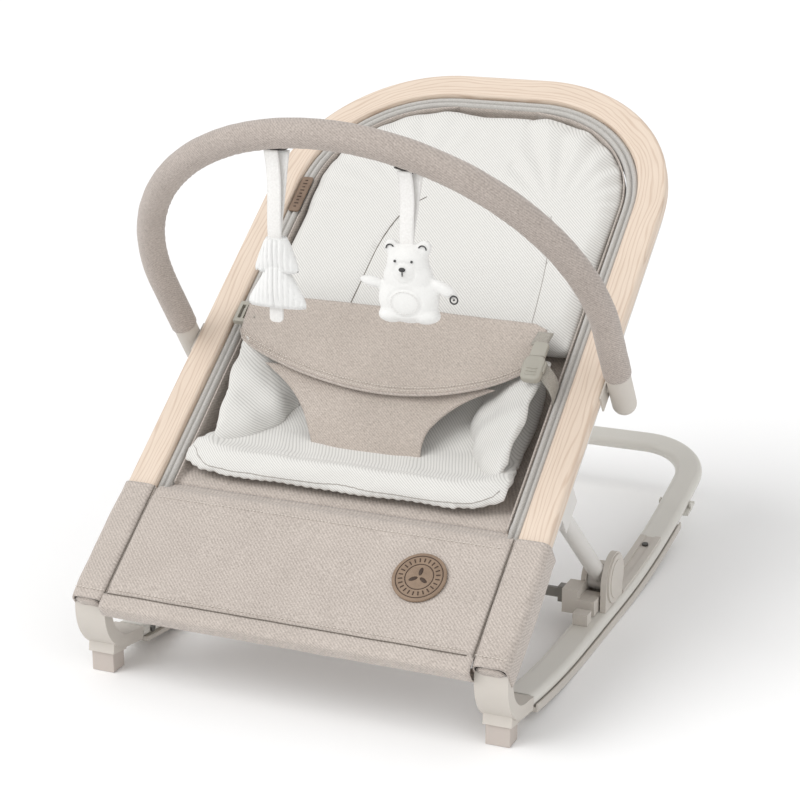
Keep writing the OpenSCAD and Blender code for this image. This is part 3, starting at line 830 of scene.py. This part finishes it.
def seat_pad():
    """The seat cushion: its outline runs round it as (up the seat, out of the seat), drawn out sideways."""
    half = 0.149
    run = [(25, 0), (27, 3.5), (36, 5.5), (46, 6), (64, -10), (100, -31), (145, -37), (175, -29), (184, -15),
           (193, -17), (193, -24), (183, -37), (149, -46.5), (101, -42.5), (62, -19), (40, -3), (28, -2)]
    bm = bmesh.new()
    ring = [bm.verts.new((-half, v * MM, n * MM)) for v, n in run]
    face = bm.faces.new(ring)
    grown = bmesh.ops.extrude_face_region(bm, geom=[face])["geom"]
    far_end = [g for g in grown if isinstance(g, bmesh.types.BMVert)]
    bmesh.ops.translate(bm, vec=(2 * half, 0, 0), verts=far_end)
    bmesh.ops.subdivide_edges(bm, edges=[e for e in bm.edges if reach(e, "x") > 0.1], cuts=10)
    for vert in bm.verts:
        k = abs(vert.co.x) / half
        if vert.co.y < 0.07:
            vert.co.y += 0.013 * k ** 14 - 0.003 * (1 - k * k)
            if vert.co.x < 0:
                vert.co.x *= 1 + 0.105 * (0.07 - vert.co.y) / 0.045
        else:
            vert.co.x *= 0.93
    ob = puffed("seat_pad_liner", bm, 4, 4.5, 4.0, None, 0.35)
    ways = [vert.normal.copy() for vert in ob.data.vertices]
    for vert, way in zip(ob.data.vertices, ways):
        u, v, n = vert.co / MM
        front = max(0, min(1, (46 - v) / 12))
        gather = math.sin(u * FULL_TURN / 8.6 + 1.5 * noise.noise(Vector((u / 40, 0, 0))))
        low = max(0, min(1, (2.5 - n) / 5))
        swell = noise.noise(Vector((u / 40, v / 30, n / 40)))
        vert.co += way * MM * (0.5 * gather * front * low + 0.6 * swell)
        roll = math.exp(-((v - 50 - 5 * math.cos(u / 60)) / 3.0) ** 2) * (1 if way.z > 0.3 else 0)
        vert.co.z -= 1.0 * roll * MM
        spread = math.exp(-((abs(u) - 55) / 26) ** 2) * math.exp(-((v - 66) / 18) ** 2)
        radial = math.sin(u / 6.5 + (v - 60) / 16) * spread
        vert.co.z += 1.0 * radial * MM * (1 if way.z > 0.3 else 0)
    # A dark cord along the front seam: painted shadow in its groove.
    surface = surface_of(ob)
    row = []
    for u in range(-154, 146, 4):
        hit = surface.ray_cast(Vector((u, -100, 1.2)) * MM, Vector((0, 1, 0)))[0]
        if hit:
            row.append((u, hit.y / MM - 0.1, 1.2))
    seam_shadow_cord("seat_front_seam_shadow", row, 0.4, "cushion", "seam")
    finish_padded(ob, "seat", "cushion")
    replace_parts(ob, "seat_pad")


def wing(side):
    """The side bolster: it leans from the frame's edge down to the seat pad."""
    top = rounded_line([(139, 61, -7), (143, 100, 0), (146, 140, 4), (149, 170, 6), (149, 190, -6)])
    low = rounded_line([(134, 60, -14), (116, 74, -21), (98, 98, -32), (82, 138, -37), (100, 182, -28)])

    def place(s, t):
        a, b = line_at(top, t), line_at(low, t)
        bow = 7.0 * math.sin(s * math.pi) * math.sin(min(1, t * 1.15) * math.pi) ** 0.7
        fold = 2.2 * math.sin(s * 13 + t * 7) * (1 - s * 0.7) * math.sin(t * math.pi) * (0.3 + t)
        u, v, n = (q + (p - q) * s for p, q in zip(a, b))
        return (u - bow * 0.75 - fold * 0.5) * side, v, n + bow * 0.45 + fold * 0.4
    bm = laid_grid(16, 20, place)
    if side < 0:
        bmesh.ops.reverse_faces(bm, faces=bm.faces)
    bmesh.ops.recalc_face_normals(bm, faces=bm.faces)
    bmesh.ops.solidify(bm, geom=bm.faces[:], thickness=-7 * MM)
    name = "wing_right" if side > 0 else "wing_left"
    ob = puffed(name + "_liner", bm, 3.5, 4.5, 3.0)
    ways = [vert.normal.copy() for vert in ob.data.vertices]
    for vert, way in zip(ob.data.vertices, ways):
        u, v, n = vert.co / MM
        slope = math.sin((v - 0.9 * n) / 6.0 + side) * math.exp(-((v - 130) / 45) ** 2)
        vert.co += way * MM * (1.5 * slope + 0.8 * noise.noise(vert.co / 0.02))
    finish_padded(ob, "seat", "cushion")
    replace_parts(ob, name)


back_pad()
seat_pad()
for side in (-1, 1):
    wing(side)


# ---------------------------------------------------------------- belt and crotch panel
BELT_EDGE = rounded_line([(-152, -38), (-146, -50), (-112, -65), (-75, -77), (-30, -86), (7, -88.5),
                          (40, -86), (70, -80), (105, -67), (130, -50), (139, -38)])


def belt_low(u):
    """Lower edge of the belt in its own frame, in mm below its straight top edge."""
    for a, b in zip(BELT_EDGE, BELT_EDGE[1:]):
        if u <= b[0] or b is BELT_EDGE[-1]:
            return a[1] + (b[1] - a[1]) * max(0, min(1, (u - a[0]) / (b[0] - a[0])))


def belt_lift(u):
    """The belt bows out over the middle of the seat."""
    return 3.5 * (1 - (u / 150) ** 2)


def belt_swell(u, y):
    return 1.1 * noise.noise(Vector((u / 60, y / 35, 0.3)))


def waist_belt():
    def place(s, t):
        u = -151.5 + s * 290.5
        low = belt_low(u)
        y = low * (1 - t)
        puff = 1.6 * math.sin(min(1, max(0, t)) * math.pi) ** 0.5
        soft = belt_swell(u, y) + 0.4 * noise.noise(Vector((u / 22, y / 16, 4)))
        lip = 1.6 * math.exp(-((t - 0.03) / 0.03) ** 2)
        corner = min(1, s * 24) * min(1, (1 - s) * 24)
        y -= (1 - corner) * 5 * t
        return u, y, 1.4 + belt_lift(u) + puff + soft + lip
    bm = laid_grid(110, 40, place)
    ob = thicken(settle("waist_belt_cloth", bm, "seat", "belt", home=BELT), 3.4 * MM)
    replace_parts(ob, "waist_belt")
    for gap, label in ((3.4, "outer"), (6.6, "inner")):
        row = [(u, belt_low(u) + gap, 3.4 + belt_lift(u) + belt_swell(u, belt_low(u)))
               for u in range(-147, 134, 5)]
        stitched("belt_stitches_" + label, row, 2.9, "seat", "belt", home=BELT, width=0.6)
    belt_piping()


def belt_piping():
    """A welt along the belt's curved edge."""
    welt = bmesh.new()
    bmesh.ops.create_circle(welt, segments=8, radius=1.3 * MM, cap_ends=True)
    bmesh.ops.rotate(welt, matrix=Matrix.Rotation(math.pi / 2, 3, "Y"), verts=welt.verts)
    at = Vector((-151, belt_low(-151), 2 + belt_lift(-151))) * MM
    bmesh.ops.translate(welt, vec=at, verts=welt.verts)
    edges = welt.edges[:]
    for u in range(-147, 140, 4):
        spot = Vector((u, belt_low(u) - 0.3, 2.4 + belt_lift(u))) * MM
        edges = pushed(welt, edges, spot - at)
        at = spot
    bmesh.ops.holes_fill(welt, edges=welt.edges, sides=0)
    settle("belt_piping", welt, "seat", "belt", "twill", home=BELT)


def crotch_panel():
    """The piece between the legs; its two edges run as (up the belt's own frame, across it)."""
    left = rounded_line([(-160, -44), (-145, -48), (-125, -57), (-108, -68), (-90, -86), (-68, -118)])
    right = rounded_line([(-160, 62), (-143, 54), (-126, 53), (-106, 58), (-84, 76), (-68, 106)])

    def place(s, t):
        (y, a), (y2, b) = line_at(left, t), line_at(right, t)
        y = (y + y2) / 2
        x = (s - 0.5) * 2
        u = a + (b - a) * s
        tuck = -16 * max(0, (-116 - y) / 44) ** 1.4
        pull = 1.3 * math.sin(abs(x) * 7 + y / 14) * (abs(x) ** 2) * max(0, min(1, (y + 140) / 60))
        soft = 1.2 * noise.noise(Vector((u / 40, y / 40, 6)))
        return u, y, -1.6 + tuck + pull + soft + 2.2 * (1 - x * x) - 1.6 * abs(x) ** 6
    bm = laid_grid(50, 60, place)
    ob = thicken(settle("crotch_panel_cloth", bm, "seat", "belt", home=BELT), 2.4 * MM)
    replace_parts(ob, "crotch_panel")


waist_belt()
crotch_panel()


# ---------------------------------------------------------------- webbing and buckles
def strap_piece(name, run, width, node=None, across=(0, 1, 0)):
    """A short length of webbing along a run of points in millimetres."""
    way = Vector(across)

    def place(s, t):
        p = Vector(line_at(run, t))
        return tuple(p + way * (s - 0.5) * width)
    bm = laid_grid(5, 24, place)
    ob = thicken(settle(name, bm, "seat", "webbing"), 1.5 * MM)
    if node:
        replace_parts(ob, node)


def webbing():
    left = rounded_line([(-158.5, 200, -10), (-160, 200, 0), (-158, 200, 5.6), (-153, 200, 8),
                         (-147, 200, 11), (-141, 200, 13.5)])
    right = rounded_line([(146, 168, 16.5), (152, 164, 15), (158, 160, 8), (160, 158, -2), (158.5, 157, -10)])
    tail = rounded_line([(138, 190, 21), (139, 200, 19.5), (139, 208, 17)])
    strap_piece("webbing_left_strap", left, 19, "webbing_left")
    strap_piece("webbing_right_strap", right, 18, "webbing_right")
    strap_piece("webbing_right_tail", tail, 14, across=(1, 0, 0))


def block(bm, at, size, turn=0.0):
    """Adds a small block, in millimetres, turned about its upright."""
    place = Matrix.Translation(Vector(at) * MM) @ Matrix.Rotation(turn, 4, "Z")
    bmesh.ops.create_cube(bm, size=1.0, matrix=place @ Matrix.Diagonal((*(Vector(size) * MM), 1)))


def side_buckle():
    """The socket with its grip ribs and side buttons, and the tongue that goes into it."""
    socket = slab((131, 149), (152, 178), (14.6, 22), 5, lambda x, y: True, 1.6, 4)
    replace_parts(settle("buckle_socket_body", socket, "seat", "buckle"), "buckle_socket")
    ribs = bmesh.new()
    for v in (157, 160.5, 164):
        block(ribs, (140, v, 22.2), (10, 1.4, 1.2))
    for u in (130.6, 149.4):
        block(ribs, (u, 168, 18.3), (2, 11, 3.6))
    round_off(ribs, ribs.edges[:], 0.4, 2)
    settle("buckle_side_buttons", ribs, "seat", "buckle")
    tongue = slab((133, 147), (178.4, 194.3), (16, 21), 3, lambda x, y: y > 0, 1.2, 4)
    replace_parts(settle("buckle_tongue_body", tongue, "seat", "buckle"), "buckle_tongue")


webbing()
side_buckle()


# ---------------------------------------------------------------- leather badge and side tag
def ring_of(radius, thick, at, parts=64):
    """A thin ring, in millimetres, lying flat."""
    bm = bmesh.new()
    bmesh.ops.create_circle(bm, segments=8, radius=thick * MM)
    bmesh.ops.rotate(bm, matrix=Matrix.Rotation(math.pi / 2, 3, "X"), verts=bm.verts)
    bmesh.ops.translate(bm, vec=(radius * MM, 0, 0), verts=bm.verts)
    bmesh.ops.spin(bm, geom=bm.verts[:] + bm.edges[:], cent=(0, 0, 0), axis=(0, 0, 1), angle=2 * math.pi,
                   steps=parts, use_merge=True)
    bmesh.ops.remove_doubles(bm, verts=bm.verts, dist=1e-6)
    bmesh.ops.translate(bm, vec=Vector(at) * MM, verts=bm.verts)
    return bm


def blob(bm, at, size, turn=0.0, axis="Y", fine=(32, 20)):
    """Adds a ball stretched to half sizes in millimetres and turned, in radians, about an axis."""
    part = bmesh.new()
    bmesh.ops.create_uvsphere(part, u_segments=fine[0], v_segments=fine[1], radius=1.0)
    place = Matrix.Translation(Vector(at) * MM) @ Matrix.Rotation(turn, 4, axis)
    bmesh.ops.transform(part, matrix=place @ Matrix.Diagonal((*(Vector(size) * MM), 1)), verts=part.verts)
    join_into(bm, [part])


def badge():
    """A round leather badge with a plain pattern: two rings, ticks between them, and three leaves."""
    cu, cv, face = 102, -49, 4.55
    bm = bmesh.new()
    bmesh.ops.create_circle(bm, segments=72, radius=23.4 * MM, cap_ends=True)
    grown = bmesh.ops.extrude_face_region(bm, geom=bm.faces[:])["geom"]
    upper = [g for g in grown if isinstance(g, bmesh.types.BMVert)]
    bmesh.ops.translate(bm, vec=(0, 0, 1.5 * MM), verts=upper)
    top = [f for f in bm.faces if f.normal.z > 0.9 or f.calc_center_median().z > 1.4 * MM]
    bmesh.ops.inset_region(bm, faces=top, thickness=1.0 * MM, depth=0.5 * MM)
    bmesh.ops.translate(bm, vec=Vector((cu, cv, 2.6)) * MM, verts=bm.verts)
    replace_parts(settle("badge_disc", bm, "seat", "leather"), "badge")
    marks = ring_of(20.2, 0.45, (cu, cv, face))
    join_into(marks, [ring_of(12.2, 0.45, (cu, cv, face))])
    for k in range(24):
        a = k * math.pi / 12
        block(marks, (cu + 16.2 * math.cos(a), cv + 16.2 * math.sin(a), face), (3.6, 0.9, 0.8), a)
    for k in range(3):
        a = math.pi / 2 + k * 2 * math.pi / 3
        blob(marks, (cu + 5.2 * math.cos(a), cv + 5.2 * math.sin(a), 4.5), (4.2, 1.9, 0.6), a, "Z", (12, 8))
    settle("badge_pattern", marks, "seat", "leather", "stamp")


def side_tag():
    """A small leather tag on the binding, with a row of long and short dashes."""
    bm = slab((-168, -156.8), (338, 383), (-4.4, -2.2), 2, lambda x, y: True, 0.6, 3)
    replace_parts(settle("side_tag_leather", bm, "seat", "leather", "tag"), "side_tag")
    lines = bmesh.new()
    for k in range(9):
        block(lines, (-162.4, 343.5 + k * 4.3, -2.1), (4.2 if k % 2 else 2.6, 1.1, 0.5))
    settle("side_tag_pattern", lines, "seat", "leather", "stamp")


badge()
side_tag()


# ---------------------------------------------------------------- toy bar
def bar_cover():
    """The padded cover, swept up, over and down; soft creases inside the arch, a cuff and a long seam."""
    cuff_gap, parts = 0.0003, 14
    rise = (BAR_LEG - cuff_gap) / parts
    bm = bmesh.new()
    bmesh.ops.create_circle(bm, segments=28, radius=12.4 * MM)
    bmesh.ops.translate(bm, vec=(BAR_REACH, 0, cuff_gap), verts=bm.verts)
    edges = pushed(bm, bm.edges[:], (0, 0, rise), parts)
    edges = swung(bm, edges, (0, 0, BAR_LEG), (0, 1, 0), -math.pi, 150)
    pushed(bm, edges, (0, 0, -rise), parts)
    bmesh.ops.remove_doubles(bm, verts=bm.verts, dist=1e-6)
    caps = bmesh.ops.holes_fill(bm, edges=bm.edges, sides=0)["faces"]
    for face in caps:
        bmesh.ops.inset_region(bm, faces=[face], thickness=1.2 * MM, depth=0.6 * MM)
    for vert in bm.verts:
        x, _, z = vert.co
        on_arch = z > BAR_LEG
        if on_arch:
            mid = Vector((x, 0, z - BAR_LEG)).normalized() * BAR_REACH + Vector((0, 0, BAR_LEG))
        else:
            mid = Vector((math.copysign(BAR_REACH, x), 0, z))
        out = vert.co - mid
        if out.length < 0.008:
            continue
        out.normalize()
        inner = max(0, -out.dot((mid - Vector((0, 0, min(mid.z, BAR_LEG)))).normalized()))
        along = math.atan2(mid.z - BAR_LEG, mid.x)
        crease = inner ** 2 * 0.35 * math.sin(along * 160 + 3 * noise.noise(mid * 30)) if on_arch else 0
        cuff = -0.9 * math.exp(-((z - 0.007) / 0.0011) ** 2)
        seam = -0.5 * math.exp(-((math.atan2(out.y, inner + 1e-6) - 0.9) / 0.07) ** 2) if inner > 0.2 else 0
        vert.co += out * MM * (crease + cuff + seam + 0.28 * noise.noise(vert.co / 0.012))
    ob = settle("toy_bar_cover", bm, "toy_bar", "barcloth", home=BAR)
    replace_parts(ob, "bar_sleeve")


bar_cover()


# ---------------------------------------------------------------- hanging toys
def bar_point(degrees):
    """A point on the toy bar's centre line, by its angle from the top of the arch."""
    a = math.radians(degrees)
    return BAR @ Vector((BAR_REACH * math.sin(a), 0, BAR_LEG + BAR_REACH * math.cos(a)))


def toy_ribbon(name, body, degrees, length, node):
    """Two layers of ribbon that hang from a small dark tab sewn under the bar."""
    p = bar_point(degrees)
    bar_radius, tab_turn = 13.2, 0.95
    ribbon = bmesh.new()
    for sign, lean, wide in ((1, -2.6, 6.2), (-1, 5.6, 6.4)):
        sheet = bmesh.new()
        bmesh.ops.create_grid(sheet, x_segments=6, y_segments=30, size=0.5)
        for vert in sheet.verts:
            s, t = vert.co.x * 2, vert.co.y + 0.5
            drop = bar_radius + t * (length - bar_radius)
            bow = 1.3 * math.sin(t * 5 + sign)
            side = lean * (1 - t) ** (1.6 if sign < 0 else 0.7) + (1.2 * math.sin(t * 4) if sign > 0 else 0)
            narrow = 1 if sign > 0 else 1 - 0.3 * t
            curl = 0.5 * s * s * sign
            apart = -sign * 0.7 + 3.2 * (1 - t) ** 2 * (-sign)
            vert.co = p + Vector((s * wide * narrow + side, apart + bow + curl, -drop)) * MM
        join_into(ribbon, [sheet])
    ob = settle(name, ribbon, body, "plush", "ribbon", home=None)
    thicken(ob, 1.0 * MM, 0.0)
    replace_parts(ob, node)
    patch = bmesh.new()
    bmesh.ops.create_grid(patch, x_segments=6, y_segments=8, size=0.5)
    for vert in patch.verts:
        a = math.pi * 1.5 - 0.30 + vert.co.y * tab_turn
        vert.co = Vector((vert.co.x * 15.6, math.cos(a) * 13.6, math.sin(a) * 13.6)) * MM
    along_bar = Matrix.Rotation(TILT, 4, "X") @ Matrix.Rotation(math.radians(degrees), 4, "Y")
    bmesh.ops.transform(patch, matrix=Matrix.Translation(p) @ along_bar, verts=patch.verts)
    grip = settle(name + "_tab", patch, body, "plush", "tab", home=None)
    thicken(grip, 1.0 * MM, 0.0)
    return p


def tier(whole, top, outline):
    """One flattened skirt of the tree with upright ribs; its outline runs down as (half width, drop)."""
    pitch, deep = 4.4, 8.5
    bm = bmesh.new()
    bmesh.ops.create_cone(bm, cap_ends=True, segments=132, radius1=1.0, radius2=1.0, depth=1.0)
    bmesh.ops.subdivide_edges(bm, edges=[e for e in bm.edges if reach(e, "z") > 0.5], cuts=14)
    for vert in bm.verts:
        t = 0.5 - vert.co.z
        wide, drop = line_at(outline, t)
        r = math.hypot(vert.co.x, vert.co.y)
        across = vert.co.x
        rib = abs(math.sin((across * wide) * math.pi / pitch)) ** 0.6
        swell = math.sin(min(1, 0.15 + t * 0.8) * math.pi) ** 0.6
        hem = 1.2 * math.cos(across * wide * 2 * math.pi / pitch) * max(0, t - 0.9) * 10
        y = vert.co.y * (deep * (0.5 + 0.4 * swell) + 2.0 * rib)
        vert.co = top + Vector((across * wide, y, -drop - hem * min(1, r))) * MM
    join_into(whole, [bm])


def tree():
    p = toy_ribbon("tree_ribbon", "tree", -9.5, 88, "tree_strap")
    top = Vector((p.x, p.y, p.z - 0.0855))
    bm = bmesh.new()
    tier(bm, top, rounded_line([(9, 0), (11.5, 4), (16, 15), (19.5, 24), (19.5, 27.5)]))
    tier(bm, top, rounded_line([(11, 22), (12, 30), (17, 38), (24, 49), (26.3, 54), (26, 57)]))
    ob = settle("tree_plush", bm, "tree", "plush", "ribs", home=None)
    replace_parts(ob, "tree_toy")
    trunk = slab((-6, 6), (-1.6, 1.6), (-16, 4))
    round_off(trunk, [e for e in trunk.edges if reach(e, "y") > 0.002 and e.verts[0].co.z < 0], 4, 5)
    round_off(trunk, [e for e in trunk.edges if reach(e, "y") < 1e-6], 0.7, 2)
    bmesh.ops.translate(trunk, vec=top + Vector((-0.001, 0, -0.0555)), verts=trunk.verts)
    settle("tree_tab", trunk, "tree", "plush", "ribbon", home=None)


# The bear's balls as (place, half sizes, turn in degrees), in millimetres from its crown: head, neck, belly,
# feet, seat, ears, arms and muzzle. Its eyes, nose and mouth follow, as (place, half sizes).
BEAR = (((0, 0, -18), (18.5, 10.5, 17.5), 0), ((0, 0, -29), (21.5, 10.5, 19), 0),
        ((0, 0, -46), (26.5, 11.5, 21), 0), ((-15, 0, -60), (12, 9.5, 7), 0), ((15, 0, -60), (12, 9.5, 7), 0),
        ((0, 0, -57), (25.5, 10.5, 8.5), 0), ((-14.2, 1, -4.6), (6.6, 4.2, 6.6), 0),
        ((14.2, 1, -4.6), (6.6, 4.2, 6.6), 0), ((-31, -1, -34), (12, 4.6, 4.6), 12),
        ((31, -1, -37), (13.5, 5, 5.2), 30), ((0, -6.5, -22.5), (7.8, 6.3, 7), 0))
BEAR_FACE = (((-7.3, -10.0, -14), (1.1, 0.9, 1.1)), ((7.3, -10.0, -14), (1.1, 0.9, 1.1)),
             ((0, -12.9, -20.2), (2.9, 1.3, 1.9)), ((0, -12.9, -24), (0.4, 0.8, 2.2)))


def bear():
    p = toy_ribbon("bear_ribbon", "bear", 22, 74, "bear_strap")
    top = Vector((p.x - 0.001, p.y, p.z - 0.0705))
    home = Matrix.Translation(top) @ Matrix.Rotation(math.radians(-2), 4, "Y")
    bm = bmesh.new()
    for at, size, turn in BEAR:
        blob(bm, at, size, math.radians(turn))
    ob = evened("bear_plush", bm, 1.3)
    work = bmesh.new()
    work.from_mesh(ob.data)
    relax(work, 5)
    for vert in work.verts:
        x, z = vert.co.x / MM, vert.co.z / MM
        if vert.co.y < 0:
            belly = math.hypot(x / 14.2, (z + 48) / 11.2)
            vert.co.y += 0.9 * MM * math.exp(-((belly - 1) / 0.09) ** 2)
            face = math.hypot(x / 9.0, (z + 23.5) / 8.6)
            vert.co.y += 0.8 * MM * math.exp(-((face - 1) / 0.1) ** 2)
        vert.co += vert.normal * 0.35 * MM * noise.noise(vert.co / 0.009)
    work.to_mesh(ob.data)
    work.free()
    finish_padded(ob, "bear", "plush", home)
    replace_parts(ob, "bear_toy")
    bear_marks(home)
    turns = [k / 20 * math.pi for k in range(41)]
    belly = [(12.0 * math.cos(a), -11.2, -48 + 9.2 * math.sin(a)) for a in turns]
    stitched("bear_belly_stitches", belly, 2.0, "bear", "plush", "ribbon", home=home, width=0.5,
             up=(0, -1, 0))


def bear_marks(home):
    """Dark stitching: face, inside of the ears, and a plain ring on one hand."""
    marks = bmesh.new()
    for at, size in BEAR_FACE:
        blob(marks, at, size)
    for side in (-1, 1):
        ear = ring_of(3.4, 0.55, (0, 0, 0), 28)
        bmesh.ops.delete(ear, geom=[v for v in ear.verts if v.co.y < 0.4 * MM], context="VERTS")
        bmesh.ops.holes_fill(ear, edges=ear.edges, sides=0)
        stand_in(marks, ear, (14.0 * side, -3.3, -5.4), -14 * side)
    stand_in(marks, ring_of(3.2, 0.7, (0, 0, 0), 32), (41, -5.6, -44))
    blob(marks, (41, -5.4, -44), (0.9, 0.5, 0.9))
    settle("bear_face_stitching", marks, "bear", "plush", "ink", home=home)


def stand_in(whole, flat, at, degrees=0.0):
    """Stands a flat form upright, turned in its own plane, at a place in millimetres, and adds it."""
    upright = Matrix.Rotation(math.pi / 2, 4, "X") @ Matrix.Rotation(math.radians(degrees), 4, "Z")
    bmesh.ops.transform(flat, matrix=Matrix.Translation(Vector(at) * MM) @ upright, verts=flat.verts)
    join_into(whole, [flat])


tree()
bear()


# ---------------------------------------------------------------- finishes of the frame parts
def finish_frame():
    slots = {row["node"]: row["material_slot"] for row in frame["record"]["subparts"]}
    for name, ob in frame["nodes"].items():
        finish = slots[name]
        if name.startswith("strut_") or name == "seat_tube":
            finish = "strut"
        elif name.startswith("rear_pad"):
            finish = "steel"
        ob.data.materials.clear()
        ob.data.materials.append(FINISH[finish])


finish_frame()


# ---------------------------------------------------------------- floor
def floor():
    bm = bmesh.new()
    bmesh.ops.create_grid(bm, x_segments=1, y_segments=1, size=15)
    ob = placed("floor", bm)
    mat, tree, shader, place = start("pale floor")
    cloud = add(tree, "TexNoise", {"Vector": place, "Scale": 3.0})
    tone = colour_between(tree, cloud.outputs[0], (0.97, 0.97, 0.97), (1.0, 1.0, 1.0))
    tree.links.new(tone, shader.inputs["Base Color"])
    shader.inputs["Roughness"].default_value = 0.7
    ob.data.materials.append(mat)
    ob.location = (0, 0, -0.0004)


floor()
